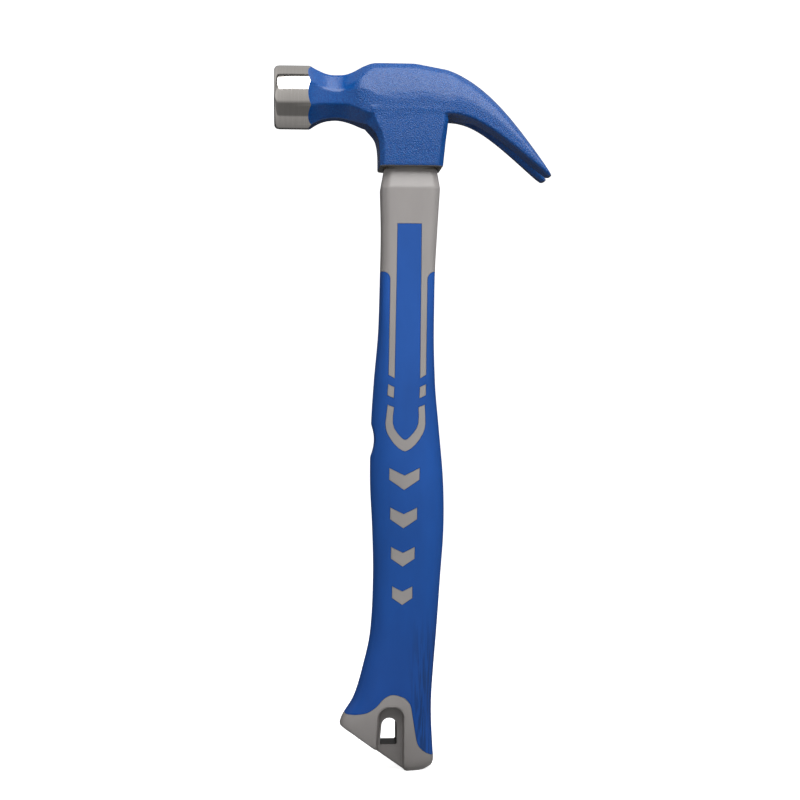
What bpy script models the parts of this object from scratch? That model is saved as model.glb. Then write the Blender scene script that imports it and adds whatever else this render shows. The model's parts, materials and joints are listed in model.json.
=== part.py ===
"""Claw hammer: a forged head on a two-shot moulded handle with a glass-fibre core.

Metres, +Z up the handle. The hammer strikes towards -X and its claws reach towards +X.
The origin is on the handle's axis, level with the foot of the handle.
"""
from math import cos, pi, radians, sin, tan

import bmesh
import bpy
from mathutils import Vector

# ---- driving dimensions ----------------------------------------------------------------
HANDLE_LENGTH = 0.2824      # foot of the handle to the underside of the head
FIT_GAP = 0.0003            # clearance left between any two pieces

# Head
HEAD_DEPTH = 0.0484         # underside of the eye boss to the top of the head
POLL_REACH = 0.0640         # handle axis to the striking face
CLAW_REACH = 0.0660         # handle axis to the tips of the claws
POLL_RISE = 0.0333          # underside of the eye boss to the axis of the poll
FACE_DIAMETER = 0.0296
FACE_CHAMFER = 0.0022
POLL_LENGTH = 0.0164        # length of the turned and ground band
NECK_FLATS = 0.0200         # across the flats of the octagonal neck at its waist
NECK_WAIST = 0.0155         # from the turned band to the end of the waist
BOSS_CHAMFER = 0.0050
BOSS_DEPTH = 0.0300         # how far the boss reaches up into the cheeks
CLAW_ROOT_WIDTH = 0.0225
CLAW_TIP_WIDTH = 0.0300
CLAW_ROOT_RISE = 0.0241     # underside of the boss to the underside of the claws' root
CLAW_TIP_DROP = 0.0038      # tips of the claws below the underside of the boss
CLAW_CROWN = 0.0018         # how far the middle of the claws' underside stands proud
CLAW_TIP_THICKNESS = 0.0020
CLAW_BEVEL = 0.0032
SLOT_LENGTH = 0.0380
SLOT_WIDTH = 0.0120         # between the claws at their tips
SLOT_ROOT_WIDTH = 0.0016

# Eye, resin and core
EYE_LENGTH = 0.0256         # along X at the mouth
EYE_WIDTH = 0.0196
EYE_WALL = 0.0021           # steel in front of and behind the eye
CHEEK_WALL = 0.0037         # steel on each side of the eye
EYE_WAIST = 0.0010          # how much narrower, per side, the eye is at mid depth
EYE_FLARE = 0.0008          # how much wider, per side, the eye is at the top
RESIN_WALL = 0.0009
RESIN_CAP = 0.0022          # resin over the top of the tang
RESIN_RECESS = 0.0008       # top of the resin below the top of the head
CORE_LENGTH_X = 0.0140
CORE_WIDTH = 0.0090
CORE_CORNER = 0.0030
CORE_X = -0.0006            # axis of the core, ahead of the handle's axis
CORE_FOOT = 0.0560          # lower end of the core above the foot of the handle

# Grip
GRIP_WALL = 0.0022
TONGUE_WIDTH = 0.0110       # centre stripe at its top
TONGUE_FOOT_WIDTH = 0.0122  # centre stripe where it joins the palm
STRIPE_WIDTH = 0.0026       # the two hard stripes beside it
FINGER_NOTCH_DEPTH = 0.0019
FINGER_NOTCH_LENGTH = 0.0156
CHEVRON_COUNT = 4
CHEVRON_HALF_WIDTH = 0.0071
CHEVRON_SHRINK = 0.0008     # how much narrower, per side, each one is than the one above
CHEVRON_THICKNESS = 0.0053

# Butt
FOOT_FLAT = 0.0125          # length of the flat end of the handle
FOOT_SLANT_X = 0.0340       # reach of the front corner, ahead of the handle's axis
FOOT_SLANT_RISE = 0.0210    # height of that corner
BORDER_RISE = 0.0284        # where the grip ends at the front of the butt
HOLE_WIDTH = 0.0076
HOLE_HEIGHT = 0.0126
HOLE_X = -0.0105
HOLE_Z = 0.0187             # middle of the hanging hole
HOLE_WEB = 0.0140           # thickness of the web that the hole goes through
HOLE_RIM = 0.0024           # how far the channel is wider than the hole, per side

# Places along the handle, as shares of its length
TONGUE_TOP, PANEL_TOP, STRIPE_FOOT = 0.906, 0.825, 0.651
DIAMOND_TOP, DIAMOND_FOOT = 0.638, 0.619
YOKE_TOP, YOKE_ELBOW, YOKE_TIP = 0.606, 0.569, 0.528
NOTCH_PLACE = 0.548
CHEVRON_TOP, CHEVRON_PITCH = 0.502, 0.065

# The handle's outer surface. Each row is a share of the length, how far the front, the rear
# and the sides stand out from the size of the eye, and how square the section is.
HANDLE_STATIONS = (
    (0.000, 0.0212, -0.0029, 0.0022, 3.2),
    (0.080, 0.0206, -0.0029, 0.0030, 3.2),
    (0.118, 0.0144, -0.0029, 0.0032, 3.0),
    (0.170, 0.0095, -0.0019, 0.0029, 2.8),
    (0.227, 0.0061, -0.0005, 0.0026, 2.6),
    (0.319, 0.0047, 0.0014, 0.0029, 2.5),
    (0.400, 0.0051, 0.0030, 0.0033, 2.5),
    (0.480, 0.0061, 0.0028, 0.0034, 2.5),
    (0.574, 0.0056, 0.0006, 0.0028, 2.6),
    (0.640, 0.0044, -0.0010, 0.0021, 2.8),
    (0.734, 0.0021, -0.0018, 0.0012, 3.2),
    (0.822, 0.0013, -0.0016, 0.0006, 4.0),
    (0.895, 0.0008, -0.0006, 0.0004, 4.6),
    (0.965, 0.0012, 0.0009, 0.0004, 4.6),
    (1.000, -0.0006, -0.0004, -0.0004, 4.0),
)
# The neck's flare behind the turned band: distance back, and share of the way to the waist.
NECK_FLARE = ((-0.0020, -0.15), (0.0, 0.0), (0.0018, 0.27), (0.0042, 0.60), (0.0075, 0.88),
              (0.0115, 1.0), (NECK_WAIST, 1.0))
# From the waist to the cheeks: share of the way along, and share of the way outwards.
CHEEK_SWELL = ((0.25, 0.12), (0.45, 0.38), (0.68, 0.80), (0.86, 0.97), (1.0, 1.0))
# The boss: share of its depth, and how far its front and its rear flow out there.
BOSS_FLOW = ((0.0, 0.0, 0.0), (0.27, 0.0, 0.0006), (0.45, 0.0010, 0.0009),
             (0.57, 0.0028, 0.0012), (0.66, 0.0060, 0.0018), (0.75, 0.0100, 0.0028),
             (1.0, 0.0100, 0.0028))
# Where grip and butt meet on the sides: ahead of the handle's axis, and above the front.
BORDER_CURVE = ((-0.0304, 0.0), (-0.0228, -0.0010), (-0.0158, 0.0037), (-0.0112, 0.0076),
                (-0.0054, 0.0076), (-0.0012, 0.0041), (-0.0002, 0.0009), (0.0015, -0.0105),
                (0.0042, -0.0186), (0.0093, -0.0200))

SECTION_POINTS = 28         # round each section of the handle
SECTION_COUNT = 25          # along the handle
CLAW_SECTIONS = 11
TURNED_SIDES = 48
ARCH_STEPS = 12
CUT_REACH = 0.050           # half size of a cutter that reaches past the handle
CUT_OVERRUN = 0.004         # how far a cutter runs past a face

# ---- worked out from them --------------------------------------------------------------
HEAD_TOP = HANDLE_LENGTH + HEAD_DEPTH
POLL_AXIS = HANDLE_LENGTH + POLL_RISE
CLAW_ROOT = HANDLE_LENGTH + CLAW_ROOT_RISE
CLAW_TIP = HANDLE_LENGTH - CLAW_TIP_DROP
BAND_END = POLL_LENGTH - POLL_REACH
TANG_TOP = HEAD_TOP - RESIN_RECESS - RESIN_CAP - FIT_GAP
CHEEK = EYE_WIDTH / 2 + CHEEK_WALL
BOSS_HALF = EYE_LENGTH / 2 + EYE_WALL


# ---- scene and shared helpers ----------------------------------------------------------
for old in list(bpy.data.objects):
    bpy.data.objects.remove(old, do_unlink=True)

hammer = bpy.data.collections.new("claw_hammer")
cutters = bpy.data.collections.new("cutters")
bpy.context.scene.collection.children.link(hammer)
bpy.context.scene.collection.children.link(cutters)


def material(name, colour, roughness, metallic=0.0):
    mat = bpy.data.materials.new(name)
    mat.use_nodes = True
    shader = mat.node_tree.nodes["Principled BSDF"]
    shader.inputs["Base Color"].default_value = (*colour, 1)
    shader.inputs["Roughness"].default_value = roughness
    shader.inputs["Metallic"].default_value = metallic
    return mat


def new_object(name, mesh, mat=None):
    """A piece when it has a material, and a cutter when it has none."""
    obj = bpy.data.objects.new(name, mesh)
    (hammer if mat else cutters).objects.link(obj)
    if mat:
        mesh.materials.append(mat)
        mesh.shade_smooth()
        mesh.set_sharp_from_angle(angle=radians(30))
    else:
        obj.hide_render = True
        obj.display_type = "WIRE"
    return obj


def finished(name, bm, mat):
    bmesh.ops.recalc_face_normals(bm, faces=bm.faces)
    mesh = bpy.data.meshes.new(name)
    bm.to_mesh(mesh)
    bm.free()
    return new_object(name, mesh, mat)


def loft(name, rings, mat=None):
    """A closed body through rings of equally many points, with flat ends."""
    bm = bmesh.new()
    rows = [[bm.verts.new(point) for point in ring] for ring in rings]
    count = len(rows[0])
    for low, high in zip(rows, rows[1:]):
        for k in range(count):
            bm.faces.new((low[k], low[(k + 1) % count], high[(k + 1) % count], high[k]))
    bm.faces.new(rows[0])
    bm.faces.new(rows[-1])
    return finished(name, bm, mat)


def prisms(name, outlines, half_depth=CUT_REACH):
    """Flat outlines in X and Z, each given thickness along Y, as one cutter."""
    bm = bmesh.new()
    for outline in outlines:
        near = bm.faces.new([bm.verts.new((x, -half_depth, z)) for x, z in outline])
        swept = bmesh.ops.extrude_face_region(bm, geom=[near])["geom"]
        far = [item for item in swept if isinstance(item, bmesh.types.BMVert)]
        bmesh.ops.translate(bm, verts=far, vec=(0, 2 * half_depth, 0))
    return finished(name, bm, None)


def combine(target, operation, other):
    modifier = target.modifiers.new(f"{operation.lower()} {other.name}", "BOOLEAN")
    modifier.operation = operation
    modifier.solver = "EXACT"
    modifier.object = other


def grown(outline, distance):
    """The outline moved outwards by a distance, with mitred corners."""
    area = sum(a[0] * b[1] - b[0] * a[1] for a, b in zip(outline, outline[1:] + outline[:1]))
    side = 1 if area > 0 else -1
    moved = []
    for i, here in enumerate(outline):
        before = (Vector(here) - Vector(outline[i - 1])).normalized()
        after = (Vector(outline[(i + 1) % len(outline)]) - Vector(here)).normalized()
        normal_a = Vector((before.y, -before.x)) * side
        normal_b = Vector((after.y, -after.x)) * side
        mitre = (normal_a + normal_b) / (1 + normal_a.dot(normal_b))
        moved.append(tuple(Vector(here) + mitre * distance))
    return moved


def oval(z, front, rear, half_width, squareness):
    """A superellipse ring in a level plane."""
    ring = []
    for k in range(SECTION_POINTS):
        angle = 2 * pi * (k + 0.5) / SECTION_POINTS
        c, s = cos(angle), sin(angle)
        x = abs(c) ** (2 / squareness) * (1 if c > 0 else -1)
        y = abs(s) ** (2 / squareness) * (1 if s > 0 else -1)
        ring.append(((front + rear) / 2 + x * (rear - front) / 2, y * half_width, z))
    return ring


def arch(x, spring, radius):
    """Points over the top of a half circle, from its rear foot to its front foot."""
    angles = [pi * k / ARCH_STEPS for k in range(ARCH_STEPS + 1)]
    return [(x + radius * cos(a), spring + radius * sin(a)) for a in angles]


# ---- hammer_head: one steel forging ----------------------------------------------------
def turned_poll():
    """The ground band. It is turned about Z and the object is then laid along -X."""
    radius = FACE_DIAMETER / 2
    profile = ((0, POLL_LENGTH), (radius - FACE_CHAMFER, POLL_LENGTH),
               (radius, POLL_LENGTH - FACE_CHAMFER), (radius, 0), (0, 0))
    mesh = bpy.data.meshes.new("turned_poll")
    mesh.from_pydata([(r, 0, z) for r, z in profile], [(i, i + 1) for i in range(4)], [])
    poll = new_object("turned_poll", mesh)
    poll.location = (BAND_END, 0, POLL_AXIS)
    poll.rotation_euler = (0, -pi / 2, 0)
    turn = poll.modifiers.new("turn", "SCREW")
    turn.steps = turn.render_steps = TURNED_SIDES
    turn.use_merge_vertices = True
    turn.merge_threshold = 0.00001
    return poll


def octagon(x, top, bottom, half_width, chamfer):
    """A ring with cut corners across the X axis."""
    w, c = half_width, chamfer
    corners = ((w - c, top), (w, top - c), (w, bottom + c), (w - c, bottom),
               (c - w, bottom), (-w, bottom + c), (-w, top - c), (c - w, top))
    return [(x, y, z) for y, z in corners]


def neck_and_cheek_rings():
    """Octagons from inside the turned band, over the waist, to the rear of the cheeks."""
    flat = NECK_FLATS / 2
    regular = 1 - tan(pi / 8)       # cut corner of a regular octagon, over its half width
    flare = FACE_DIAMETER / 2 * cos(pi / 8) - FIT_GAP
    cheek_chamfer, cheek_floor = 0.0042, CLAW_ROOT - 0.0018
    rings = []
    for back, share in NECK_FLARE:
        half = min(flare, flare + (flat - flare) * share)
        rings.append(octagon(BAND_END + back, POLL_AXIS + half, POLL_AXIS - half, half,
                             half * regular))
    waist_end = BAND_END + NECK_WAIST
    for share, outward in CHEEK_SWELL:
        rise = (1 - cos(pi * min(share / 0.93, 1))) / 2
        top = POLL_AXIS + flat + (HEAD_TOP - POLL_AXIS - flat) * rise
        bottom = POLL_AXIS - flat + (cheek_floor - POLL_AXIS + flat) * rise
        half = flat + (CHEEK - flat) * outward
        chamfer = half * regular * (1 - share) + cheek_chamfer * share
        rings.append(octagon(waist_end + (-BOSS_HALF - waist_end) * share, top, bottom, half,
                             chamfer))
    rings.append(octagon(0.0, HEAD_TOP, cheek_floor, CHEEK, cheek_chamfer))
    rings.append(octagon(0.0080, HEAD_TOP - 0.0011, CLAW_ROOT - 0.0010, CHEEK, cheek_chamfer))
    return rings


def bezier(points, t):
    s = 1 - t
    p0, p1, p2, p3 = (Vector(p) for p in points)
    return s ** 3 * p0 + 3 * s * s * t * p1 + 3 * s * t * t * p2 + t ** 3 * p3


def claw_rings():
    """Sections across the claws, spanned between their top curve and their underside."""
    top = ((-0.0040, HEAD_TOP), (0.0245, HEAD_TOP), (0.0355, HEAD_TOP - 0.0106),
           (CLAW_REACH, CLAW_TIP))
    under = ((0.0150, CLAW_ROOT), (0.0290, CLAW_ROOT + 0.0013), (0.0380, CLAW_ROOT - 0.0055),
             (CLAW_REACH - CLAW_TIP_THICKNESS, CLAW_TIP - 0.0004))
    top_start = 0.27                # the top curve begins over the eye
    rings = []
    for step in range(CLAW_SECTIONS):
        t = step / (CLAW_SECTIONS - 1)
        over = bezier(top, top_start + (1 - top_start) * t)
        below = bezier(under, t)
        down = (below - over).normalized()
        half = (CLAW_ROOT_WIDTH + (CLAW_TIP_WIDTH - CLAW_ROOT_WIDTH) * t) / 2
        half += (CHEEK - CLAW_ROOT_WIDTH / 2) * max(0, 1 - 4 * t) ** 2
        bevel = min(CLAW_BEVEL * (1 - t) + 0.0004, (below - over).length * 0.4)
        crown = CLAW_CROWN * min(1, 3 * t)
        side = [(half - bevel, over), (half, over + down * bevel),
                (half, below - down * bevel / 2), (bevel * 2, below + down * crown)]
        side += [(-y, point) for y, point in reversed(side)]
        rings.append([(point.x, y, point.y) for y, point in side])
    return rings


def eye_boss():
    """A short octagonal tube that hangs below the cheeks and flows into neck and claws."""
    rings = []
    half, c = CHEEK - 2 * FIT_GAP, BOSS_CHAMFER
    for share, front_flow, rear_flow in BOSS_FLOW:
        front, rear = -BOSS_HALF - front_flow, BOSS_HALF + rear_flow
        outline = ((front + c, -half), (rear - c, -half), (rear, c - half), (rear, half - c),
                   (rear - c, half), (front + c, half), (front, half - c), (front, c - half))
        rings.append([(x, y, HANDLE_LENGTH + share * BOSS_DEPTH) for x, y in outline])
    return loft("eye_boss", rings)


def eye_rings(inset, low, high):
    """Rings of the eye between two heights, moved inwards by an inset."""
    steps = 7
    rings = []
    for i in range(steps + 1):
        z = low + (high - low) * i / steps
        share = (z - HANDLE_LENGTH) / HEAD_DEPTH
        side = -EYE_WAIST * 4 * share * (1 - share) + EYE_FLARE * max(0, share) ** 2 - inset
        x = EYE_LENGTH / 2 + side
        rings.append(oval(z, -x, x, EYE_WIDTH / 2 + side, 3.6))
    return rings


def nail_slot():
    """A V between the claws, round at its root."""
    root_half, tip_half = SLOT_ROOT_WIDTH / 2, SLOT_WIDTH / 2
    spread = (tip_half - root_half) / SLOT_LENGTH * CUT_OVERRUN
    root_x, mouth_x = CLAW_REACH - SLOT_LENGTH, CLAW_REACH + CUT_OVERRUN
    plan = [(mouth_x, -tip_half - spread), (mouth_x, tip_half + spread)]
    plan += [(root_x + root_half * (1 - sin(a)), root_half * cos(a))
             for a in (pi * k / 8 for k in range(9))]
    low, high = CLAW_TIP - 2 * CUT_OVERRUN, HEAD_TOP + CUT_OVERRUN
    return loft("nail_slot", [[(x, y, z) for x, y in plan] for z in (low, high)])


steel = material("forged_steel_blue", (0.045, 0.150, 0.420), 0.42)
head = loft("hammer_head", neck_and_cheek_rings() + claw_rings(), steel)
combine(head, "UNION", turned_poll())
combine(head, "UNION", eye_boss())
combine(head, "DIFFERENCE", loft("eye_hole", eye_rings(0, HANDLE_LENGTH - CUT_OVERRUN,
                                                      HEAD_TOP + CUT_OVERRUN)))
combine(head, "DIFFERENCE", nail_slot())


# ---- core_rod: straight glass-fibre bar ------------------------------------------------
def core_ring(z, grow):
    """Rounded oblong section of the core, grown for the socket that it sits in."""
    half_x, half_y, r = CORE_LENGTH_X / 2 + grow, CORE_WIDTH / 2 + grow, CORE_CORNER + grow
    ring = []
    for quarter, (sx, sy) in enumerate(((1, 1), (-1, 1), (-1, -1), (1, -1))):
        for k in range(4):
            a = pi / 2 * (quarter + k / 3)
            ring.append((CORE_X + sx * (half_x - r) + r * cos(a),
                         sy * (half_y - r) + r * sin(a), z))
    return ring


glass = material("glass_fibre", (0.62, 0.58, 0.36), 0.45)
loft("core_rod", [core_ring(CORE_FOOT, 0), core_ring(TANG_TOP, 0)], glass)


# ---- the moulded handle's outer surface ------------------------------------------------
def along(share):
    return share * HANDLE_LENGTH


def station(share):
    """Front, rear, half thickness and squareness of the handle, on a smooth curve."""
    rows = HANDLE_STATIONS
    i = max([k for k in range(len(rows) - 1) if rows[k][0] <= share])
    a, b = rows[i], rows[i + 1]
    before, after = rows[max(i - 1, 0)], rows[min(i + 2, len(rows) - 1)]
    span = b[0] - a[0]
    t = (share - a[0]) / span
    values = []
    for c in range(1, 5):
        slope_a = (b[c] - before[c]) / (b[0] - before[0]) * span
        slope_b = (after[c] - a[c]) / (after[0] - a[0]) * span
        values.append((2 * t ** 3 - 3 * t ** 2 + 1) * a[c] + (t ** 3 - 2 * t ** 2 + t) * slope_a
                      + (3 * t ** 2 - 2 * t ** 3) * b[c] + (t ** 3 - t ** 2) * slope_b)
    front, rear, side, squareness = values
    return -EYE_LENGTH / 2 - front, EYE_LENGTH / 2 + rear, EYE_WIDTH / 2 + side, squareness


def handle_rings(inset, overrun=0.0):
    """The handle's outer surface moved inwards, with its two ends moved out along Z."""
    shoulder = 1 - FIT_GAP / HANDLE_LENGTH
    rings = []
    for i in range(SECTION_COUNT):
        share = i / (SECTION_COUNT - 1) * shoulder
        front, rear, half, squareness = station(share)
        z = along(share) + (overrun if i == SECTION_COUNT - 1 else -overrun if i == 0 else 0)
        rings.append(oval(z, front + inset, rear - inset, half - inset, squareness))
    return rings


def pattern_axis(z):
    """X of the line that the pattern is centred on, which leans forward towards the foot."""
    lean = min(max((along(0.67) - z) / along(0.38), 0), 1)
    return -0.0017 - 0.0028 * lean


def at(z, offset):
    return pattern_axis(z) + offset, z


def mirrored(half_outline):
    """An outline from its right half, which runs from the middle's foot to the middle's top."""
    left = [(2 * pattern_axis(z) - x, z) for x, z in half_outline]
    return half_outline + list(reversed(left))


def shoulder_outline():
    """The bare neck of the jacket, with the two stripes that run down beside the tongue."""
    narrow, wide = TONGUE_WIDTH / 2, TONGUE_FOOT_WIDTH / 2
    tongue, panel, foot = along(TONGUE_TOP), along(PANEL_TOP), along(STRIPE_FOOT)
    above = HANDLE_LENGTH + CUT_OVERRUN
    slant = STRIPE_WIDTH * 0.6
    return mirrored([at(tongue, narrow), at(panel, narrow), at(foot, wide),
                     at(foot + slant, wide + STRIPE_WIDTH), at(panel, wide + STRIPE_WIDTH),
                     at(panel, CUT_REACH), at(above, CUT_REACH)])


def diamond_outline(side):
    """A short slanted dash below each stripe."""
    top, foot, slant = along(DIAMOND_TOP), along(DIAMOND_FOOT), STRIPE_WIDTH * 0.6
    inner, outer = TONGUE_FOOT_WIDTH / 2, TONGUE_FOOT_WIDTH / 2 + STRIPE_WIDTH
    return [at(top - slant, inner * side), at(top, outer * side),
            at(foot + slant, outer * side), at(foot, inner * side)]


def yoke_outline():
    """The U with a pointed foot that closes the stripes."""
    outer = TONGUE_FOOT_WIDTH / 2 + STRIPE_WIDTH
    inner = outer - STRIPE_WIDTH
    top, elbow, tip = along(YOKE_TOP), along(YOKE_ELBOW), along(YOKE_TIP)
    right = [at(tip, 0), at(elbow, outer), at(top, outer), at(top - STRIPE_WIDTH * 0.6, inner),
             at(elbow + STRIPE_WIDTH / 2, inner), at(tip + STRIPE_WIDTH * 2.1, 0)]
    return right + [(2 * pattern_axis(z) - x, z) for x, z in reversed(right[1:-1])]


def chevron_outline(i):
    top = along(CHEVRON_TOP - CHEVRON_PITCH * i)
    half, low = CHEVRON_HALF_WIDTH - CHEVRON_SHRINK * i, top - CHEVRON_THICKNESS
    return [at(low - half * 0.68, 0), at(low, half), at(top, half), at(top - half / 2, 0),
            at(top, -half), at(low, -half)]


def butt_outline():
    """All that lies below the S-shaped border between grip and butt."""
    border = [(x, BORDER_RISE + rise) for x, rise in BORDER_CURVE]
    first, last = (-CUT_REACH, border[0][1]), (CUT_REACH, border[-1][1])
    return [first] + border + [last, (CUT_REACH, -3 * CUT_OVERRUN),
                               (-CUT_REACH, -3 * CUT_OVERRUN)]


def hard_outlines(grow):
    """Where the hard plastic shows at the surface, in X and Z."""
    outlines = [shoulder_outline(), diamond_outline(1), diamond_outline(-1), yoke_outline(),
                butt_outline()]
    outlines += [chevron_outline(i) for i in range(CHEVRON_COUNT)]
    return [grown(outline, grow) for outline in outlines]


def slanted_end():
    """Below the flat foot and below the slant that runs up to the front corner."""
    foot_rear = EYE_LENGTH / 2 + HANDLE_STATIONS[0][2]
    foot_front = foot_rear - FOOT_FLAT
    slope = FOOT_SLANT_RISE / (FOOT_SLANT_X + foot_front)
    far_rise = slope * (2 * CUT_REACH + foot_front)
    return prisms("slanted_end", [[(foot_front, 0), (-2 * CUT_REACH, far_rise),
                                   (-2 * CUT_REACH, -CUT_REACH), (CUT_REACH, -CUT_REACH),
                                   (CUT_REACH, 0)]])


# ---- handle_jacket: hard plastic first shot --------------------------------------------
def hanging_hole():
    half = HOLE_WIDTH / 2
    top = arch(HOLE_X, HOLE_Z + HOLE_HEIGHT / 2 - half, half)
    foot = HOLE_Z - HOLE_HEIGHT / 2
    return prisms("hanging_hole", [top + [(HOLE_X - half, foot), (HOLE_X + half, foot)]])


def hole_channel():
    """The arched channel on each side, cut down to the web that the hole goes through."""
    half = HOLE_WIDTH / 2 + HOLE_RIM
    top = arch(HOLE_X, HOLE_Z + HOLE_HEIGHT / 2 - HOLE_WIDTH / 2, half)
    outline = top + [(HOLE_X - half - HOLE_RIM, -CUT_OVERRUN), (HOLE_X + half, -CUT_OVERRUN)]
    channel = prisms("hole_channel", [outline])
    combine(channel, "DIFFERENCE", prisms("hole_web", [grown(outline, CUT_OVERRUN)],
                                          HOLE_WEB / 2))
    return channel


plastic = material("grey_plastic", (0.36, 0.34, 0.33), 0.50)
skin = loft("jacket_skin", handle_rings(0))
combine(skin, "INTERSECT", prisms("hard_surfaces", hard_outlines(0)))
jacket = loft("handle_jacket", handle_rings(GRIP_WALL), plastic)
combine(jacket, "UNION", skin)
combine(jacket, "UNION", loft("tang", eye_rings(RESIN_WALL + 2 * FIT_GAP,
                                                HANDLE_LENGTH - CUT_OVERRUN, TANG_TOP)))
combine(jacket, "DIFFERENCE", loft("core_socket", [core_ring(CORE_FOOT - FIT_GAP, FIT_GAP),
                                                   core_ring(TANG_TOP + CUT_OVERRUN, FIT_GAP)]))
end_cut = slanted_end()
for cutter in (end_cut, hanging_hole(), hole_channel()):
    combine(jacket, "DIFFERENCE", cutter)


# ---- grip_sleeve: soft second shot over the jacket -------------------------------------
def finger_notch():
    """A shallow scoop across the front, where the forefinger rests."""
    depth, half_length = FINGER_NOTCH_DEPTH, FINGER_NOTCH_LENGTH / 2
    radius = (half_length ** 2 + depth ** 2) / (2 * depth)
    x = station(NOTCH_PLACE)[0] + depth - radius
    z = along(NOTCH_PLACE)
    angles = [2 * pi * k / TURNED_SIDES for k in range(TURNED_SIDES)]
    return prisms("finger_notch", [[(x + radius * cos(a), z + radius * sin(a))
                                    for a in angles]])


rubber = material("blue_rubber", (0.018, 0.085, 0.270), 0.60)
grip = loft("grip_sleeve", handle_rings(0), rubber)
combine(grip, "DIFFERENCE", loft("under_grip", handle_rings(GRIP_WALL - FIT_GAP, CUT_OVERRUN)))
for cutter in (prisms("hard_windows", hard_outlines(FIT_GAP)), end_cut, finger_notch()):
    combine(grip, "DIFFERENCE", cutter)

# ---- eye_resin: the bond between tang and head -----------------------------------------
cast_resin = material("cast_resin", (0.30, 0.24, 0.12), 0.30)
resin = loft("eye_resin", eye_rings(FIT_GAP, HANDLE_LENGTH + FIT_GAP,
                                    HEAD_TOP - RESIN_RECESS), cast_resin)
combine(resin, "DIFFERENCE", loft("tang_room", eye_rings(RESIN_WALL + FIT_GAP,
                                                         HANDLE_LENGTH - CUT_OVERRUN,
                                                         TANG_TOP + FIT_GAP)))
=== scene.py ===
"""Claw hammer: the fine surfaces and finishes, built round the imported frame. Metres, +Z up."""
import json
from math import cos, pi, radians, sin, sqrt

import bmesh
import bpy
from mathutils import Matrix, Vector


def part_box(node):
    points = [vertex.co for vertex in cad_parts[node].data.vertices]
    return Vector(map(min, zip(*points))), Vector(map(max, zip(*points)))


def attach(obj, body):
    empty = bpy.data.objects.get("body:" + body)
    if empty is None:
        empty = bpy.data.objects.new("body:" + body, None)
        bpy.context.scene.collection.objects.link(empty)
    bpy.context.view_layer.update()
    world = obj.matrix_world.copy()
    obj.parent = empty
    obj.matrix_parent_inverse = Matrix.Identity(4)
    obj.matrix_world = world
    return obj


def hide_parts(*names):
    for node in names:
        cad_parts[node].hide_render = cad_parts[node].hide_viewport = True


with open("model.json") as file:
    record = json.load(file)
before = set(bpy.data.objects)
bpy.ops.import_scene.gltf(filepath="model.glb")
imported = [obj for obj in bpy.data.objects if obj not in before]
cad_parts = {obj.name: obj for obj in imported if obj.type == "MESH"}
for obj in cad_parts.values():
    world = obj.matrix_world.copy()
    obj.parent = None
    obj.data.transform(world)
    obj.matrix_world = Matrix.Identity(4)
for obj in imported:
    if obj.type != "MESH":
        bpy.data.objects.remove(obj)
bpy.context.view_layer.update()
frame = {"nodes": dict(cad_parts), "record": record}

# ---- The head ----------------------------------------------------------------------------
# One drop forging in medium-carbon steel: octagonal neck, cheeks, a boss round the eye and a
# pair of curved claws. It is powder coated blue all over, and then the poll is turned and
# ground bare, which leaves scallops where the lathe ran off the octagon.
head_low, head_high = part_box("hammer_head")
eye_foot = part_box("eye_resin")[0].z - 0.0003
face_x, tip_x = head_low.x, head_high.x
poll_z = next(m for m in frame["record"]["mounts"] if m["name"] == "striking_face")["pos_m"][2]
MM = 0.001


def select_only(piece):
    bpy.ops.object.select_all(action="DESELECT")
    piece.select_set(True)
    bpy.context.view_layer.objects.active = piece


def drawn_out(name, sections):
    """A closed bar: a filled ring, drawn out ring by ring through its sections."""
    bpy.ops.object.select_all(action="DESELECT")
    bpy.ops.mesh.primitive_circle_add(vertices=len(sections[0]), fill_type="NGON")
    piece = bpy.context.object
    piece.name = piece.data.name = name
    for vertex, point in zip(piece.data.vertices, sections[0]):
        vertex.co = point
    bpy.ops.object.mode_set(mode="EDIT")
    bpy.ops.mesh.select_all(action="SELECT")
    count = len(sections[0])
    for section in sections[1:]:
        bpy.ops.mesh.extrude_region_move()
        shell = bmesh.from_edit_mesh(piece.data)
        shell.verts.ensure_lookup_table()
        for vertex, point in zip(shell.verts[-count:], section):
            vertex.co = point
    bpy.ops.mesh.select_all(action="SELECT")
    bpy.ops.mesh.normals_make_consistent(inside=False)
    bpy.ops.object.mode_set(mode="OBJECT")
    return piece


def apply_modifier(piece, kind, **settings):
    select_only(piece)
    modifier = piece.modifiers.new(kind.lower(), kind)
    for key, value in settings.items():
        setattr(modifier, key, value)
    bpy.ops.object.modifier_apply(modifier=modifier.name)


def combine(piece, operation, other):
    apply_modifier(piece, "BOOLEAN", operation=operation, object=other, solver="EXACT",
                   material_mode="INDEX")
    bpy.data.objects.remove(other, do_unlink=True)


def softened(piece, grain, rounds):
    """Fused into one skin with rounded edges, as a forging or a moulding comes from its die."""
    apply_modifier(piece, "REMESH", mode="VOXEL", voxel_size=grain)
    apply_modifier(piece, "SMOOTH", factor=0.5, iterations=rounds)


def spline(rows, at):
    """All the columns of a table at one value of its first column, on a smooth curve."""
    i = max([k for k in range(len(rows) - 1) if rows[k][0] <= at] or [0])
    a, b = rows[i], rows[i + 1]
    before, after = rows[max(i - 1, 0)], rows[min(i + 2, len(rows) - 1)]
    span = b[0] - a[0]
    t = min(max((at - a[0]) / span, 0), 1)
    values = []
    for c in range(len(a)):
        slope_a = (b[c] - before[c]) / (b[0] - before[0]) * span
        slope_b = (after[c] - a[c]) / (after[0] - a[0]) * span
        values.append((2 * t ** 3 - 3 * t ** 2 + 1) * a[c] + (t ** 3 - 2 * t ** 2 + t) * slope_a
                      + (3 * t ** 2 - 2 * t ** 3) * b[c] + (t ** 3 - t ** 2) * slope_b)
    return values


CORNER_STEPS = 8


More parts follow.
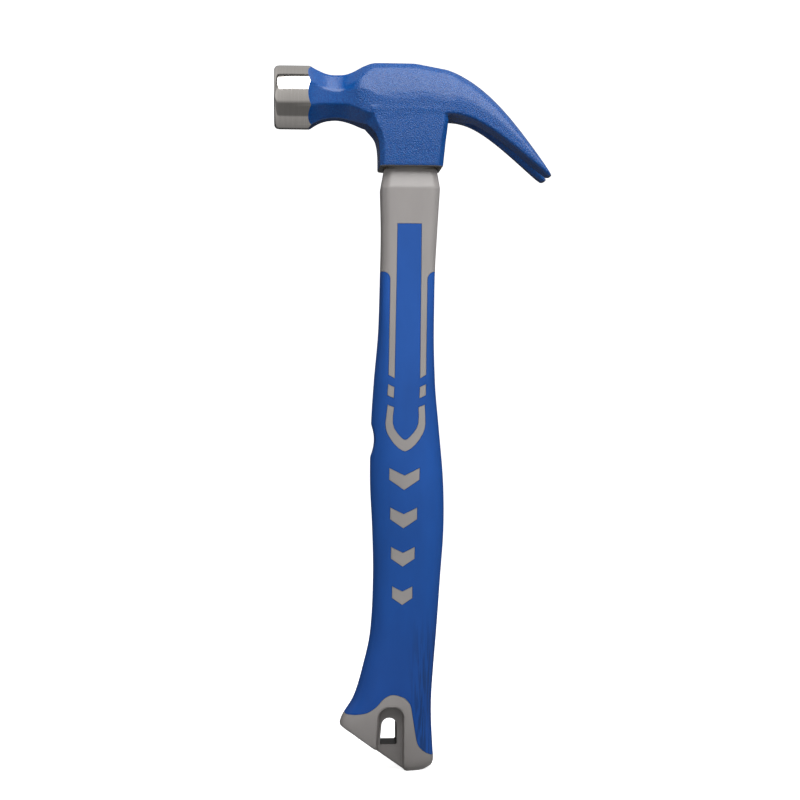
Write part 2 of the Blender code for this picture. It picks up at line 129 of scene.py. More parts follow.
def forged_section(over, under, half, top_cut, low_cut, roundness, crown=0.0, bow=0.0):
    """A ring across the forging. Its corners are cut by (across, down), flat or rounded.
    It can bow forward above its middle, as the front edge of the cheeks does."""
    down = under - over
    height = down.length
    down = down / height
    quarter = []
    for k in range(CORNER_STEPS):
        a = pi / 2 * k / (CORNER_STEPS - 1)
        flat = k / (CORNER_STEPS - 1)
        across = (1 - flat) * (1 - roundness) + (1 - sin(a)) * roundness
        depth = flat * (1 - roundness) + (1 - cos(a)) * roundness
        quarter.append((half - top_cut[0] * across, top_cut[1] * depth))
    last = quarter[-1][1]
    for k in range(1, 7):
        quarter.append((half, last + (height - low_cut[1] - last) * k / 6))
    quarter.append((half - low_cut[0], height))
    quarter.append((low_cut[0] * 0.8, height + crown))
    ring = []
    for y, d in quarter:
        point, share = over + down * d, d / height
        nose = share / 0.28 if share < 0.28 else max(0, 1 - (share - 0.28) / 0.52)
        ring.append((point.x - bow * nose, y, point.y))
    return ring + [(x, -y, z) for x, y, z in reversed(ring)]


# Neck and cheeks, in millimetres: place along X, top edge's x and height over the poll's axis,
# bottom edge's x and height, half width, corners' cut across and down, their roundness, bow.
NECK_ROWS = (
    (-66.0, -66.0, 16.5, -66.0, -16.5, 16.5, 9.7, 9.7, 0.0, 0.0),
    (-50.0, -50.0, 16.5, -50.0, -16.5, 16.5, 9.7, 9.7, 0.0, 0.0),
    (-48.2, -48.2, 14.8, -48.2, -14.8, 14.8, 8.4, 8.9, 0.0, 0.0),
    (-46.0, -46.0, 13.2, -46.0, -13.2, 13.2, 7.2, 8.4, 0.0, 0.0),
    (-43.5, -43.5, 12.0, -43.5, -11.8, 11.9, 6.2, 8.2, 0.0, 0.0),
    (-40.5, -40.5, 10.7, -40.5, -10.7, 10.7, 5.2, 8.1, 0.0, 0.0),
    (-37.5, -37.5, 10.0, -37.5, -10.2, 10.0, 4.7, 8.1, 0.0, 0.0),
    (-34.0, -34.0, 9.9, -34.0, -10.1, 9.9, 4.6, 8.1, 0.0, 0.0),
    (-31.0, -30.4, 10.2, -30.4, -10.7, 10.5, 4.8, 8.4, 0.0, 0.8),
    (-28.0, -26.4, 11.6, -25.8, -12.0, 11.8, 5.2, 9.4, 0.1, 2.0),
    (-25.8, -22.4, 13.7, -21.8, -13.3, 12.9, 5.6, 11.2, 0.2, 3.4),
    (-24.2, -18.6, 15.1, -17.6, -13.7, 13.4, 5.9, 13.0, 0.4, 4.9),
    (-20.0, -14.8, 15.4, -12.6, -12.9, 13.6, 6.0, 16.5, 0.6, 4.2),
    (-12.0, -9.6, 15.4, -6.0, -11.4, 13.6, 6.0, 18.0, 0.7, 2.2),
    (-2.0, -3.0, 15.4, 2.0, -10.6, 13.6, 6.0, 18.0, 0.7, 0.4),
    (6.0, 3.0, 15.3, 10.0, -9.6, 13.6, 6.0, 17.0, 0.7, 0.0),
)
# A regular octagon's corner cut, as a share of its half width.
OCTAGON = 0.585
sections = []
at = NECK_ROWS[0][0]
while at < NECK_ROWS[-1][0]:
    _, ox, oz, ux, uz, half, across, deep, roundness, bow = spline(NECK_ROWS, at)
    octagonal = 1 - max(0, min(1, (at + 30) / 12))
    low = (half * OCTAGON * octagonal + 1.0 * (1 - octagonal)) * MM
    sections.append(forged_section(Vector((ox * MM, poll_z + oz * MM)),
                                   Vector((ux * MM, poll_z + uz * MM)), half * MM,
                                   (across * MM, deep * MM), (low, low), roundness, bow=bow * MM))
    at += 0.5 if at < -42 or -29 < at < -22 else 1.0


def bezier(points, t):
    s = 1 - t
    p0, p1, p2, p3 = (Vector(p) for p in points)
    return s ** 3 * p0 + 3 * s * s * t * p1 + 3 * s * t * t * p2 + t ** 3 * p3


claw_root, claw_tip = eye_foot + 24.1 * MM, eye_foot - 3.9 * MM
claw_top = ((-4 * MM, head_high.z), (25.2 * MM, head_high.z), (38.6 * MM, head_high.z - 8.8 * MM),
            (tip_x, claw_tip))
claw_under = ((15 * MM, claw_root), (29 * MM, claw_root + 1.3 * MM),
              (38 * MM, claw_root - 5.5 * MM), (tip_x - 2.0 * MM, claw_tip - 0.4 * MM))
# The claws' top edge starts here, as a share of its curve, where the neck's sections end.
TOP_START = 0.27
# Claws: share of the way to the tip, half width, cut across, cut down, crown of the underside.
CLAW_ROWS = (
    (0.00, 13.6, 6.0, 16.0, 0.3), (0.10, 13.5, 6.4, 14.3, 0.8), (0.20, 12.8, 6.6, 12.4, 1.4),
    (0.40, 12.2, 6.4, 9.4, 1.7), (0.60, 12.7, 6.2, 6.2, 1.7), (0.80, 13.8, 6.0, 3.4, 1.5),
    (0.94, 14.7, 5.0, 1.7, 1.3), (0.98, 14.3, 4.2, 1.2, 1.0), (1.00, 13.2, 3.4, 0.9, 0.8),
)
for step in range(41):
    t = step / 40
    _, half, across, deep, crown = spline(CLAW_ROWS, t)
    over = bezier(claw_top, TOP_START + (1 - TOP_START) * t)
    sections.append(forged_section(over, bezier(claw_under, t),
                                   half * MM, (across * MM, deep * MM),
                                   (0.9 * MM, 0.6 * MM), 0.7 + 0.3 * t, crown * MM))
head = drawn_out("forged_head", sections)
softened(head, 0.4 * MM, 1)

# The boss: height over its foot, front, rear, half width, corners cut at front and at rear.
BOSS_ROWS = (
    (0.0, -14.9, 14.8, 12.9, 2.2, 2.6), (8.0, -15.0, 15.6, 13.3, 2.2, 2.6),
    (12.5, -15.6, 16.1, 13.5, 2.4, 2.6), (15.5, -16.8, 16.5, 13.55, 2.9, 2.5),
    (18.0, -19.0, 16.8, 13.55, 3.7, 2.3), (20.0, -21.0, 17.0, 13.55, 4.8, 2.0),
    (24.0, -23.4, 17.0, 13.5, 5.9, 2.0), (28.0, -24.6, 16.5, 13.5, 5.4, 3.0),
    (30.0, -23.0, 15.0, 11.4, 5.4, 5.0),
)
sections = []
for step in range(31):
    rise, front, rear, half, cut, back = spline(BOSS_ROWS, step)
    outline = ((front + cut, -half), (rear - back, -half), (rear, back - half),
               (rear, half - back), (rear - back, half), (front + cut, half),
               (front, half - cut), (front, cut - half))
    sections.append([(x * MM, y * MM, eye_foot + rise * MM) for x, y in outline])
combine(head, "UNION", drawn_out("eye_boss", sections))


def oval(half_x, half_y, z, squareness):
    """A superellipse ring of 64 points in a level plane."""
    ring = []
    for k in range(64):
        c, s = cos(2 * pi * k / 64), sin(2 * pi * k / 64)
        ring.append((abs(c) ** (2 / squareness) * (1 if c > 0 else -1) * half_x,
                     abs(s) ** (2 / squareness) * (1 if s > 0 else -1) * half_y, z))
    return ring


EYE_HALF_X, EYE_HALF_Y = 12.8 * MM, 9.8 * MM
head_depth = head_high.z - eye_foot


def eye_section(share, inset):
    """The eye tapers towards its top, and has a waist at mid depth which locks the bond in."""
    waist = -0.6 * 4 * share * (1 - share) * MM - inset
    return oval(EYE_HALF_X - 1.1 * max(0, share) * MM + waist,
                EYE_HALF_Y - 3.0 * max(0, share) * MM + waist, eye_foot + share * head_depth, 3.6)


combine(head, "DIFFERENCE", drawn_out("eye", [eye_section(s / 20, 0) for s in range(-2, 23)]))

# The V for pulling nails: round at its root, and bevelled wide open on the underside. It
# starts a share of the way along the claws, and runs straight on past their tips.
SLOT_START = 0.27
claw_heading = (Vector(claw_top[3]) - Vector(claw_top[2])).normalized()
sections = []
for step in range(24):
    t = SLOT_START + step / 21 * (1 - SLOT_START)
    onward = claw_heading * max(0, t - 1) * 0.06
    t = min(t, 1)
    over = bezier(claw_top, TOP_START + (1 - TOP_START) * t) + onward
    under = bezier(claw_under, t) + onward
    down = (under - over).normalized()
    opening = sqrt(min(1, (step + 0.15) / 3))
    wide = opening * (0.9 + 3.4 * max(0, t - 0.3) / 0.7) * MM
    bevel = opening * (3.6 - 2.2 * t) * MM
    half_outline = ((over - down * 6 * MM, wide), (over + (under - over) * 0.55, wide),
                    (under + down * 0.5 * MM, wide + bevel), (under + down * 6 * MM, wide + bevel))
    ring = [(p.x, y, p.y) for p, y in half_outline]
    sections.append(ring + [(x, -y, z) for x, y, z in reversed(ring)])
combine(head, "DIFFERENCE", drawn_out("nail_slot", sections))
softened(head, 0.5 * MM, 2)


class Wire:
    """One shader socket that carries a number. Arithmetic on it adds Math nodes."""

    def __init__(self, board, socket):
        self.board, self.socket = board, socket

    def math(self, operation, *values):
        return self.board.node("ShaderNodeMath", {"operation": operation},
                               dict(enumerate((self, *values))))

    def __add__(self, other):
        return self.math("ADD", other)

    def __mul__(self, other):
        return self.math("MULTIPLY", other)

    def __rsub__(self, other):
        return self.board.node("ShaderNodeMath", {"operation": "SUBTRACT"}, {0: other, 1: self})

    __radd__, __rmul__ = __add__, __mul__

    def fade(self, low, high):
        """0 below low, 1 above high, and smooth between. It falls where low is the larger."""
        return self.board.node("ShaderNodeMapRange", {"interpolation_type": "SMOOTHSTEP"},
                               {"Value": self, "From Min": low, "From Max": high})


class Board:
    """One material and its nodes. Constants go straight onto the shader's own sockets."""

    def __init__(self, name, **constants):
        self.material = bpy.data.materials.new(name)
        self.material.use_nodes = True
        self.tree = self.material.node_tree
        self.shader = self.tree.nodes["Principled BSDF"]
        for socket, value in constants.items():
            self.shader.inputs[socket.replace("_", " ")].default_value = value

    def node(self, kind, settings, sockets, output=0):
        made = self.tree.nodes.new(kind)
        for key, value in settings.items():
            setattr(made, key, value)
        for key, value in sockets.items():
            if isinstance(value, Wire):
                self.tree.links.new(value.socket, made.inputs[key])
            else:
                made.inputs[key].default_value = value
        return Wire(self, made.outputs[output])

    def place(self):
        return self.node("ShaderNodeTexCoord", {}, {}, "Object")

    def axis(self, place, name):
        return self.node("ShaderNodeSeparateXYZ", {}, {"Vector": place}, name)

    def stretched(self, place, scale):
        return self.node("ShaderNodeMapping", {}, {"Vector": place, "Scale": scale})

    def noise(self, place, scale, detail=3.0, roughness=0.5):
        return self.node("ShaderNodeTexNoise", {}, {"Vector": place, "Scale": scale,
                                                    "Detail": detail, "Roughness": roughness})

    def blend(self, share, low, high):
        """A colour between two, by a share."""
        return self.node("ShaderNodeMix", {"data_type": "RGBA"},
                         {"Factor": share, "A": low, "B": high}, 2)

    def bump(self, height, distance, strength):
        return self.node("ShaderNodeBump", {}, {"Height": height, "Distance": distance,
                                                "Strength": strength})

    def feed(self, **wires):
        for socket, wire in wires.items():
            self.tree.links.new(wire.socket, self.shader.inputs[socket.replace("_", " ")])
        return self.material


def finish_piece(piece, name, node, slot, *materials):
    select_only(piece)
    bpy.ops.object.shade_smooth_by_angle(angle=radians(38))
    piece.name = piece.data.name = name
    piece.data.materials.clear()
    for material in materials:
        piece.data.materials.append(material)
    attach(piece, "root")
    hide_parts(node)


# The lathe's envelope: everything outside it is turned away, and its faces are bare steel.
turned = [(0.00, 3.0), (0.01, 8.0), (0.04, 11.4)]
edge_turn = [pi / 16 * k for k in range(9)]
turned += [(0.04 + 2.0 * (1 - cos(a)), 12.7 + 2.0 * sin(a)) for a in edge_turn]
turned += [(2.4, 14.78), (8.0, 14.8), (17.2, 14.8), (17.3, 60.0), (145.0, 70.0)]
circle = [2 * pi * k / 192 for k in range(192)]
sections = [[(face_x + x * MM, r * MM * cos(a), poll_z + r * MM * sin(a)) for a in circle]
            for x, r in turned]
envelope = drawn_out("lathe_envelope", sections)
for piece, index in ((head, 0), (envelope, 1)):
    for slot_name in ("paint_side", "steel_side"):
        piece.data.materials.append(bpy.data.materials.new(slot_name))
    piece.data.polygons.foreach_set("material_index", [index] * len(piece.data.polygons))
combine(head, "INTERSECT", envelope)
face_sides = [face.material_index for face in head.data.polygons]

paint = Board("blue_powder_coat", Coat_Weight=0.42, Coat_Roughness=0.18, IOR=1.40)
place = paint.place()
speckle = paint.noise(place, 1700, 2.0, 0.6)
patches = paint.noise(place, 160, 2.0)
rim = paint.axis(place, "Z") + speckle * 0.0008
reach = paint.axis(place, "X") + speckle * 0.0014
bare = (rim.fade(eye_foot + 0.9 * MM, eye_foot + 0.5 * MM) * reach.fade(0.030, 0.020)
        + reach.fade(tip_x - 1.0 * MM, tip_x + 0.4 * MM) * 0.7)
smooth = reach.fade(-0.023, -0.027)
colour = paint.blend(speckle.fade(0.3, 0.75), (0.0, 0.053, 0.258, 1), (0.003, 0.100, 0.372, 1))
colour = paint.blend(patches.fade(0.55, 0.8) * 0.15, colour, (0.015, 0.17, 0.52, 1))
colour = paint.blend(bare, colour, (0.28, 0.27, 0.265, 1))
grain = paint.bump(speckle * (1 - smooth * 0.8), 0.0006, 0.7)
paint.feed(Base_Color=colour, Metallic=bare * 0.6, Normal=grain,
           Roughness=patches * 0.08 + 0.16)

steel = Board("ground_steel", Metallic=1.0)
place = steel.place()
turning = steel.noise(steel.stretched(place, (1, 0.012, 0.012)), 5200, 3.0, 0.6)
smears = steel.noise(place, 130, 3.0)
colour = steel.blend(turning, (0.62, 0.585, 0.55, 1), (0.86, 0.82, 0.78, 1))
steel.feed(Base_Color=colour, Roughness=smears * 0.06 + turning * 0.04 + 0.06,
           Normal=steel.bump(turning, 0.00003, 0.30))
finish_piece(head, "head", "hammer_head", "head_steel", paint.material, steel.material)
head.data.polygons.foreach_set("material_index", face_sides)

# ---- The resin in the eye ----------------------------------------------------------------
# Amber epoxy poured in round the tang: it stands a little below the top of the head, creeps
# up the steel in a meniscus, and has squeezed out as a thin bead round the foot of the eye.
resin_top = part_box("eye_resin")[1].z
sections = [eye_section(s, 0.1 * MM) for s in (0.008, 0.2, 0.4, 0.6, 0.8, 0.92)]
for drop, inset in ((0.0, 0.1), (0.15, 0.35), (0.45, 0.8), (0.7, 1.6), (0.85, 3.2), (0.9, 6.0)):
    ring = eye_section((resin_top - eye_foot) / head_depth, inset * MM)
    sections.append([(x, y, z - drop * MM - 12 * max(0, x - 2 * MM) ** 2) for x, y, z in ring])
resin = drawn_out("eye_bond", sections)
tang_top = resin_top - 2.5 * MM
shares = [s / 10 * (tang_top + 0.3 * MM - eye_foot) / head_depth for s in range(11)]
combine(resin, "DIFFERENCE", drawn_out("tang_room", [eye_section(s, 1.0 * MM)
                                                     for s in [-0.05] + shares]))
epoxy = Board("cast_epoxy", Roughness=0.25, Coat_Weight=0.5)
place = epoxy.place()
cloud = epoxy.noise(place, 240, 3.0)
colour = epoxy.blend(cloud.fade(0.3, 0.7), (0.20, 0.13, 0.05, 1), (0.36, 0.27, 0.12, 1))
epoxy.feed(Base_Color=colour, Roughness=cloud * 0.2 + 0.15, Normal=epoxy.bump(cloud, 0.0003, 0.4))
finish_piece(resin, "eye_bond", "eye_resin", "resin", epoxy.material)

# ---- The core ----------------------------------------------------------------------------
# A pultruded bar of glass fibre in polyester, kept as the frame has it. It is buried in the
# handle, so only its section would ever show: pale yellow-green, streaked along its length.
glass = Board("glass_fibre", Roughness=0.45)
place = glass.place()
fibre = glass.noise(glass.stretched(place, (1, 1, 0.02)), 2500, 3.0)
colour = glass.blend(fibre, (0.50, 0.47, 0.26, 1), (0.70, 0.67, 0.44, 1))
glass.feed(Base_Color=colour, Normal=glass.bump(fibre, 0.0001, 0.4))
core = frame["nodes"]["core_rod"]
core.data.materials.clear()
core.data.materials.append(glass.material)

# ---- The jacket --------------------------------------------------------------------------
# Grey glass-filled nylon moulded over the core in one shot: the bare neck under the head, the
# butt with its hanging hole, the pattern lines that show through the grip, and the tang.
# Each row: height, front, rear, half thickness, power of the section, chamfer (millimetres).
TOP_OF_ROWS = 272.8
HANDLE_ROWS = (
    (0.0, -34.0, 6.8, 8.4, 3.2, 0.0), (1.2, -34.0, 9.4, 9.6, 3.2, 0.0),
    (4.0, -34.0, 10.8, 10.4, 3.2, 0.0), (9.0, -34.0, 10.6, 11.0, 3.2, 0.0),
    (22.6, -33.0, 9.9, 12.2, 3.2, 0.0), (33.3, -26.8, 9.9, 13.0, 3.0, 0.0),
    (48.0, -22.3, 10.9, 12.7, 2.8, 0.0),
    (64.1, -18.9, 12.3, 12.4, 2.6, 0.0), (90.1, -17.5, 14.2, 12.7, 2.5, 0.0),
    (113.0, -17.9, 15.8, 13.1, 2.5, 0.0), (135.6, -18.9, 15.6, 13.2, 2.5, 0.0),
    (162.1, -18.4, 13.4, 12.6, 2.6, 0.0), (180.7, -17.2, 11.8, 11.9, 2.9, 0.1),
    (207.3, -14.9, 11.1, 11.0, 5.0, 0.6), (232.1, -14.1, 11.5, 10.5, 14.0, 0.98),
    (252.7, -13.6, 12.5, 10.4, 30.0, 1.0), (TOP_OF_ROWS, -14.0, 13.8, 10.6, 30.0, 1.0),
)
shoulder = eye_foot - 0.3 * MM


def handle_section(z, inset, row=None):
    """A ring round the handle: a superellipse at the palm, a chamfered oblong at the neck."""
    _, front, rear, half, power, chamfer = row or spline(HANDLE_ROWS, z / MM)
    half_x, half_y = (rear - front) / 2 - inset, half - inset
    ring = []
    for k in range(96):
        c, s = cos(2 * pi * (k + 0.5) / 96), sin(2 * pi * (k + 0.5) / 96)
        cut = max(chamfer, 0) * (0.655 * abs(c) + 0.4885 * abs(s))
        r = (abs(c) ** power + abs(s) ** power + cut ** power) ** (-1 / power)
        ring.append(((front + rear) / 2 * MM + r * c * half_x * MM,
                     r * s * half_y * MM, z))
    return ring


def handle_skin(name, inset, steps):
    sections = [handle_section(TOP_OF_ROWS * MM * s / steps, inset) for s in range(steps + 1)]
    top_row = (0, -12.3, 12.3, 8.3, 30.0, 1.0)
    sections.append(handle_section(shoulder, inset, top_row))
    return drawn_out(name, sections)


def prism(name, outline):
    """A flat outline in X and Z, drawn right through along Y."""
    return drawn_out(name, [[(x * MM, y * MM, z * MM) for x, z in outline] for y in (-50, 50)])


def arch(x, spring, radius):
    return [(x + radius * cos(pi * k / 16), spring + radius * sin(pi * k / 16))
            for k in range(17)]


body = handle_skin("handle_body", 0.0, 136)

# The butt: a slanted end, an arched channel on each side, and the hole through the web.
foot_front = -2.6
sections = []
for y in (-50, -12, -9, -6, -3, 0, 3, 6, 9, 12, 50):
    rise = 0.745 - 0.055 * (1 - min(1, (y / 12) ** 2))
    sections.append([(x * MM, y * MM, z * MM) for x, z in (
        (foot_front, 0), (-100, rise * (100 + foot_front)), (-100, -50), (60, -50), (60, 0))])
combine(body, "DIFFERENCE", drawn_out("slanted_end", sections))
hole_x, hole_z, hole_half, hole_half_height = -10.5, 18.7, 3.8, 6.3
spring = hole_z + hole_half_height - hole_half
channel_x, channel_z, channel_half = -9.1, 25.1, 5.3
# The channel flares outwards: distance from the middle plane, growth upwards, shift forwards.
CHANNEL_FLARE = ((7.0, 0.0, 0.0), (9.0, 0.2, 0.4), (12.0, 0.5, 1.2), (16.0, 1.0, 2.4))
for side in (-1, 1):
    sections = []
    for depth, wider, left in CHANNEL_FLARE:
        ring = [(x - left * max(0, channel_x - x) / channel_half, z)
                for x, z in arch(channel_x, channel_z, channel_half + wider * 0.5)]
        ring[0] = (channel_x + channel_half + wider * 0.1, channel_z)
        ring += [(channel_x - channel_half - 3.4 - left, -8.0), (channel_x + channel_half, -8.0)]
        sections.append([(x * MM, side * depth * MM, z * MM) for x, z in ring])
    combine(body, "DIFFERENCE", drawn_out("hole_channel", sections))
notch_z, notch_radius, notch_deep = 154.8, 17.0, 1.9
notch_x = spline(HANDLE_ROWS, notch_z)[1] + notch_deep - notch_radius
scoop = [(notch_x + notch_radius * cos(2 * pi * k / 64),
          notch_z + notch_radius * sin(2 * pi * k / 64)) for k in range(64)]
combine(body, "DIFFERENCE", prism("finger_notch", scoop))
softened(body, 0.56 * MM, 2)
foot = hole_z - hole_half_height
combine(body, "DIFFERENCE", prism("hanging_hole", arch(hole_x + 0.2, spring, hole_half - 0.2) + [
    (hole_x - hole_half - 0.4, foot + 0.5), (hole_x - hole_half + 0.1, foot),
    (hole_x + hole_half - 0.5, foot), (hole_x + hole_half, foot + 0.5)]))


PATTERN_AXIS = ((60.0, -4.6), (86.0, -4.5), (105.0, -4.2), (141.0, -3.45), (161.0, -3.0),
                (185.0, -2.0), (233.0, -1.2), (256.0, -0.9), (300.0, -0.9))


def pattern_x(z, offset):
    """X on the pattern, whose centre line leans forward towards the foot."""
    return spline(PATTERN_AXIS, z)[1] + offset


def both_sides(half):
    """A closed outline from its right half, given as (height, offset) up the middle."""
    right = [(pattern_x(z, offset), z) for z, offset in half]
    return right + [(pattern_x(z, -offset), z) for z, offset in reversed(half) if offset]


def corner(x, z, radius, start):
    """A quarter turn about (x, z), clockwise from a starting angle in degrees."""
    angles = [radians(start - 90 * k / 6) for k in range(7)]
    return [(z + radius * sin(a), x + radius * cos(a)) for a in angles]


outlines = []
neck_half = [(255.9, 0.0), (255.9, 5.75), (232.9, 5.8), (183.7, 6.0), (185.3, 8.7)]
neck_half += corner(12.6, 229.7, 4.0, 180) + [(233.7, 40.0), (290.0, 40.0), (290.0, 0.0)]
outlines.append(both_sides(neck_half))
for side in (-1, 1):
    dash = ((179.4, 6.0), (180.8, 8.8), (175.8, 8.9), (174.4, 6.1))
    outlines.append([(pattern_x(z, offset * side), z) for z, offset in dash])
outlines.append(both_sides([
    (149.7, 0.0), (150.1, 1.2), (151.1, 2.9), (152.8, 4.7), (155.2, 6.6), (157.9, 8.2),
    (160.2, 9.0), (162.6, 9.25), (166.5, 9.0), (171.2, 8.6), (170.1, 5.8), (166.0, 6.1),
    (162.6, 6.0), (160.4, 5.3), (158.2, 3.9), (156.3, 2.2), (155.2, 1.0), (154.9, 0.0)]))
for i in range(4):
    top, half = 141.8 - 18.36 * i, 6.95 - 0.78 * i
    outlines.append(both_sides([(top - 5.3 - half * 0.68, 0.0), (top - 5.3, half), (top, half),
                                (top - half / 2, 0.0)]))
# The border between grip and butt, as x and height.
BORDER = ((-50.0, 25.4), (-33.5, 25.8), (-30.2, 26.6), (-25.7, 27.0), (-20.6, 28.1),
          (-16.5, 30.9), (-13.0, 34.7), (-9.1, 36.4), (-4.0, 35.1), (-1.8, 33.1), (-0.5, 30.5),
          (0.8, 22.9), (2.4, 13.9), (4.3, 10.6), (6.9, 8.5), (10.5, 6.9), (50.0, 6.6))
border = []
for (x0, _), (x1, _) in zip(BORDER, BORDER[1:]):
    for k in range(8):
        x = x0 + (x1 - x0) * k / 8
        border.append((x, spline(BORDER, x)[1]))
outlines.append(border + [BORDER[-1], (50.0, -20.0), (-50.0, -20.0)])


def swollen(outline, distance):
    """The outline moved outwards by a distance, with mitred corners."""
    points = [Vector(p) for p in outline]
    area = sum(a.x * b.y - b.x * a.y for a, b in zip(points, points[1:] + points[:1]))
    moved = []
    for i, here in enumerate(points):
        before = (here - points[i - 1]).normalized()
        after = (points[(i + 1) % len(points)] - here).normalized()
        a, b = Vector((before.y, -before.x)), Vector((after.y, -after.x))
        mitre = (a + b) / max(1 + a.dot(b), 0.3)
        moved.append(tuple(here + mitre * distance * (1 if area > 0 else -1)))
    return moved


def windows(name, gap):
    """All the places where the hard shot shows, as one cutter."""
    cutters = [prism(name, swollen(outline, gap)) for outline in outlines]
    bpy.ops.object.select_all(action="DESELECT")
    for cutter in cutters:
        cutter.select_set(True)
    bpy.context.view_layer.objects.active = cutters[0]
    bpy.ops.object.join()
    return cutters[0]


select_only(body)
bpy.ops.object.duplicate()
jacket = bpy.context.object
bpy.ops.object.duplicate()
inner = bpy.context.object
combine(jacket, "INTERSECT", windows("hard_windows", 0.0))
combine(inner, "INTERSECT", handle_skin("first_shot", 2.2, 60))
combine(jacket, "UNION", inner)
shares = [(tang_top - eye_foot) / head_depth * s / 10 for s in range(11)]
combine(jacket, "UNION", drawn_out("tang", [eye_section(s, 1.3 * MM) for s in [-0.08] + shares]))
core_low, core_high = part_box("core_rod")
core_x = (core_low.x + core_high.x) / 2
socket = [(x + core_x, y, z) for level in (core_low.z - 0.3 * MM, tang_top + 4 * MM)
          for x, y, z in oval(7.3 * MM, 4.8 * MM, level, 4.0)]
combine(jacket, "DIFFERENCE", drawn_out("core_socket", [socket[:64], socket[64:]]))

nylon = Board("grey_nylon", Roughness=0.5)
place = nylon.place()
flow = nylon.noise(nylon.stretched(place, (1, 1, 0.25)), 90, 3.0)
spark = nylon.noise(place, 2600, 2.0)
colour = nylon.blend(flow.fade(0.3, 0.7), (0.326, 0.307, 0.299, 1), (0.352, 0.332, 0.324, 1))
across, beside, up = (nylon.axis(place, name) for name in "XYZ")
# Painted shade: the walls of the hanging hole, inside a box round it, turned nearly black.
depth = beside.math("ABSOLUTE").fade(7.1 * MM, 6.2 * MM)
depth = depth * (across + 10.5 * MM).math("ABSOLUTE").fade(5.2 * MM, 4.6 * MM)
depth = depth * up.fade(0.0105, 0.0115) * up.fade(0.0275, 0.0265)
# Painted shade: the butt grows darker towards its foot, and darker again in the arched channels.
foot_shade = up.fade(0.034, 0.004) * 0.27
inside = beside.math("ABSOLUTE").fade(10.6 * MM, 9.2 * MM) * up.fade(0.033, 0.028) * 0.27
inside = inside * (across + 9.6 * MM).math("ABSOLUTE").fade(8.5 * MM, 6.5 * MM)
colour = nylon.blend(foot_shade + inside, colour, (0.05, 0.044, 0.040, 1))
colour = nylon.blend(depth * 0.95, colour, (0.008, 0.006, 0.006, 1))
nylon.feed(Base_Color=colour, Roughness=flow * 0.10 + 0.28, Normal=nylon.bump(spark, 0.0001, 0.25))
finish_piece(jacket, "jacket", "handle_jacket", "jacket_plastic", nylon.material)

# ---- The grip ----------------------------------------------------------------------------
# Blue thermoplastic rubber, the second shot, about 2 mm thick: it fills the palm round the
# lines of the jacket and takes the satin of its die, worn and wrinkled low at the rear.
grip = body
combine(grip, "DIFFERENCE", handle_skin("under_grip", 2.1, 60))
combine(grip, "DIFFERENCE", windows("grip_windows", 0.15))
rubber = Board("blue_rubber", IOR=1.45)
place = rubber.place()
tone = rubber.noise(rubber.stretched(place, (1, 1, 0.4)), 60, 3.0)
fine = rubber.noise(place, 2200, 2.0)
streak = rubber.noise(rubber.stretched(place, (1, 1, 0.06)), 900, 3.0)
height, reach = rubber.axis(place, "Z"), rubber.axis(place, "X")
low_rear = height.fade(0.080, 0.045) * reach.fade(-0.003, 0.004)
relief = fine * 0.15 + streak * low_rear * 1.6
colour = rubber.blend(tone.fade(0.3, 0.7), (0.001, 0.070, 0.335, 1), (0.003, 0.086, 0.400, 1))
# Painted shade: the grip darker towards its foot, further from the light.
colour = rubber.blend(height.fade(0.110, 0.030) * 0.30, colour, (0.0, 0.046, 0.28, 1))
colour = rubber.blend(streak.fade(0.45, 0.58) * low_rear * 0.75, colour, (0.0, 0.035, 0.15, 1))
rubber.feed(Base_Color=colour, Roughness=tone * 0.15 + 0.42, Normal=rubber.bump(relief, 0.0003, 0.35))
finish_piece(grip, "grip", "grip_sleeve", "grip_rubber", rubber.material)

# ---- Studio ------------------------------------------------------------------------------
# A pale sweep runs from under the hammer up behind it. The room's light comes from straight
# in front and from overhead, with a dark band between the two and a dim one towards the
# floor, and a softbox stands high in front.
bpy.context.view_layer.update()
bpy.ops.mesh.primitive_plane_add(size=6.0)
sweep = bpy.context.object
sweep.name = "pale_sweep"
bpy.ops.object.mode_set(mode="EDIT")
bpy.ops.mesh.select_all(action="DESELECT")
shell = bmesh.from_edit_mesh(sweep.data)
for edge in shell.edges:
    edge.select = all(v.co.y > 0 for v in edge.verts)
bmesh.update_edit_mesh(sweep.data)
bpy.ops.mesh.extrude_region_move(TRANSFORM_OT_translate={"value": (0, 0.4, 0.3)})
bpy.ops.mesh.extrude_region_move(TRANSFORM_OT_translate={"value": (0, 0.1, 3.0)})
bpy.ops.object.mode_set(mode="OBJECT")
pale = Board("pale_sweep", Roughness=0.9, Base_Color=(0.85, 0.85, 0.85, 1),
             Emission_Color=(1, 1, 1, 1), Emission_Strength=0.85)
sweep.data.materials.append(pale.material)
sweep.visible_glossy = sweep.visible_diffuse = False

# A pale room round it all, which only the camera sees.
bpy.ops.object.select_all(action="DESELECT")
bpy.ops.mesh.primitive_uv_sphere_add(segments=48, ring_count=24, radius=5.0)
room = bpy.context.object
room.name = "pale_room"
room.data.materials.append(pale.material)
room.visible_glossy = room.visible_diffuse = room.visible_shadow = False

world = bpy.data.worlds.new("studio_light")
world.use_nodes = True
bpy.context.scene.world = world
nodes, links = world.node_tree.nodes, world.node_tree.links


def world_node(kind, settings, sockets, output=0):
    made = nodes.new(kind)
    for key, value in settings.items():
        setattr(made, key, value)
    for key, value in sockets.items():
        if isinstance(value, bpy.types.NodeSocket):
            links.new(value, made.inputs[key])
        else:
            made.inputs[key].default_value = value
    return made.outputs[output]


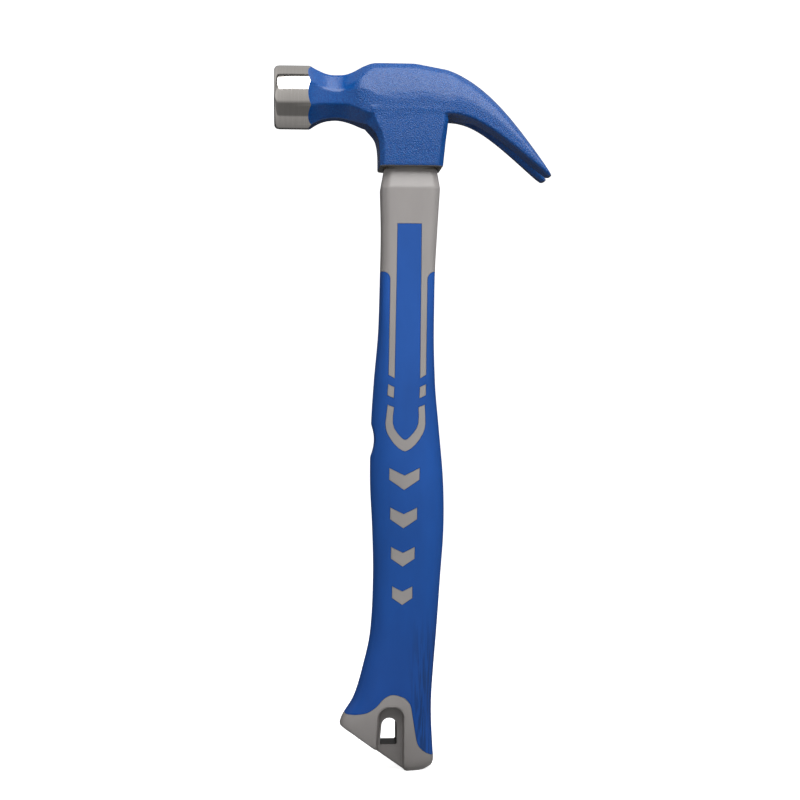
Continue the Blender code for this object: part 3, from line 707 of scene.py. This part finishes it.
direction = world_node("ShaderNodeTexCoord", {}, {}, "Generated")
split = nodes.new("ShaderNodeSeparateXYZ")
links.new(direction, split.inputs[0])
toward = world_node("ShaderNodeMath", {"operation": "MULTIPLY"}, {0: split.outputs["Y"], 1: -1.0})
turn = world_node("ShaderNodeMath", {"operation": "ARCTAN2"}, {0: split.outputs["Z"], 1: toward})
share = world_node("ShaderNodeMapRange", {}, {"Value": turn, "From Min": -pi, "From Max": pi})
ramp = nodes.new("ShaderNodeValToRGB")
links.new(share, ramp.inputs[0])
# The room's own light: angle up from the camera's side, and brightness.
LIGHT = ((-180, 0.02), (-163, 0.03), (-146, 0.22), (-84, 0.32), (-78, 0.13), (-31, 0.13),
         (-20, 0.44), (21, 0.54), (30, 0.30), (73, 0.05), (82, 0.05), (86, 0.49), (146, 0.43),
         (163, 0.10), (180, 0.02))
PEAK = 0.8
while len(ramp.color_ramp.elements) < len(LIGHT):
    ramp.color_ramp.elements.new(0.5)
for element, (angle, value) in zip(ramp.color_ramp.elements, LIGHT):
    element.position = (angle + 180) / 360
    element.color = (value / PEAK, value / PEAK, value / PEAK, 1)
background = nodes["Background"]
links.new(ramp.outputs[0], background.inputs["Color"])
aside = world_node("ShaderNodeMath", {"operation": "ABSOLUTE"}, {0: split.outputs["X"]})
brighter = world_node("ShaderNodeMath", {"operation": "MULTIPLY_ADD"},
                      {0: aside, 1: 0.42 * PEAK, 2: 0.98 * PEAK})
side_light = world_node("ShaderNodeMath", {"operation": "MULTIPLY_ADD"},
                        {0: split.outputs["X"], 1: 0.12 * PEAK, 2: brighter})
links.new(side_light, background.inputs["Strength"])
bpy.context.scene.view_settings.view_transform = "Standard"

# The softbox, aimed at the head. Its power follows from its brightness and its area.
softbox_width, softbox_height, softbox_brightness = 1.0, 0.67, 4.3
lamp_data = bpy.data.lights.new("softbox", "AREA")
lamp_data.shape, lamp_data.size, lamp_data.size_y = "RECTANGLE", softbox_width, softbox_height
lamp_data.energy = softbox_brightness * pi * softbox_width * softbox_height
softbox = bpy.data.objects.new("softbox", lamp_data)
softbox.location = (0.12, -0.489, 0.883)
toward_head = Vector((-0.03, 0, poll_z)) - softbox.location
softbox.rotation_euler = toward_head.to_track_quat("-Z", "Y").to_euler()
bpy.context.scene.collection.objects.link(softbox)

# The camera, level with the middle of the hammer and a little to its left.
aim, distance, azimuth = Vector((-0.0047, 0.0, 0.1735)), 0.75, radians(-4)
camera_data = bpy.data.cameras.new("camera")
camera_data.sensor_width, camera_data.lens = 36.0, 36.0 * distance / 0.378
camera = bpy.data.objects.new("camera", camera_data)
bpy.context.scene.collection.objects.link(camera)
camera.location = aim + Vector((sin(azimuth), -cos(azimuth), 0)) * distance
camera.rotation_euler = (aim - camera.location).to_track_quat("-Z", "Y").to_euler()
bpy.context.scene.camera = camera
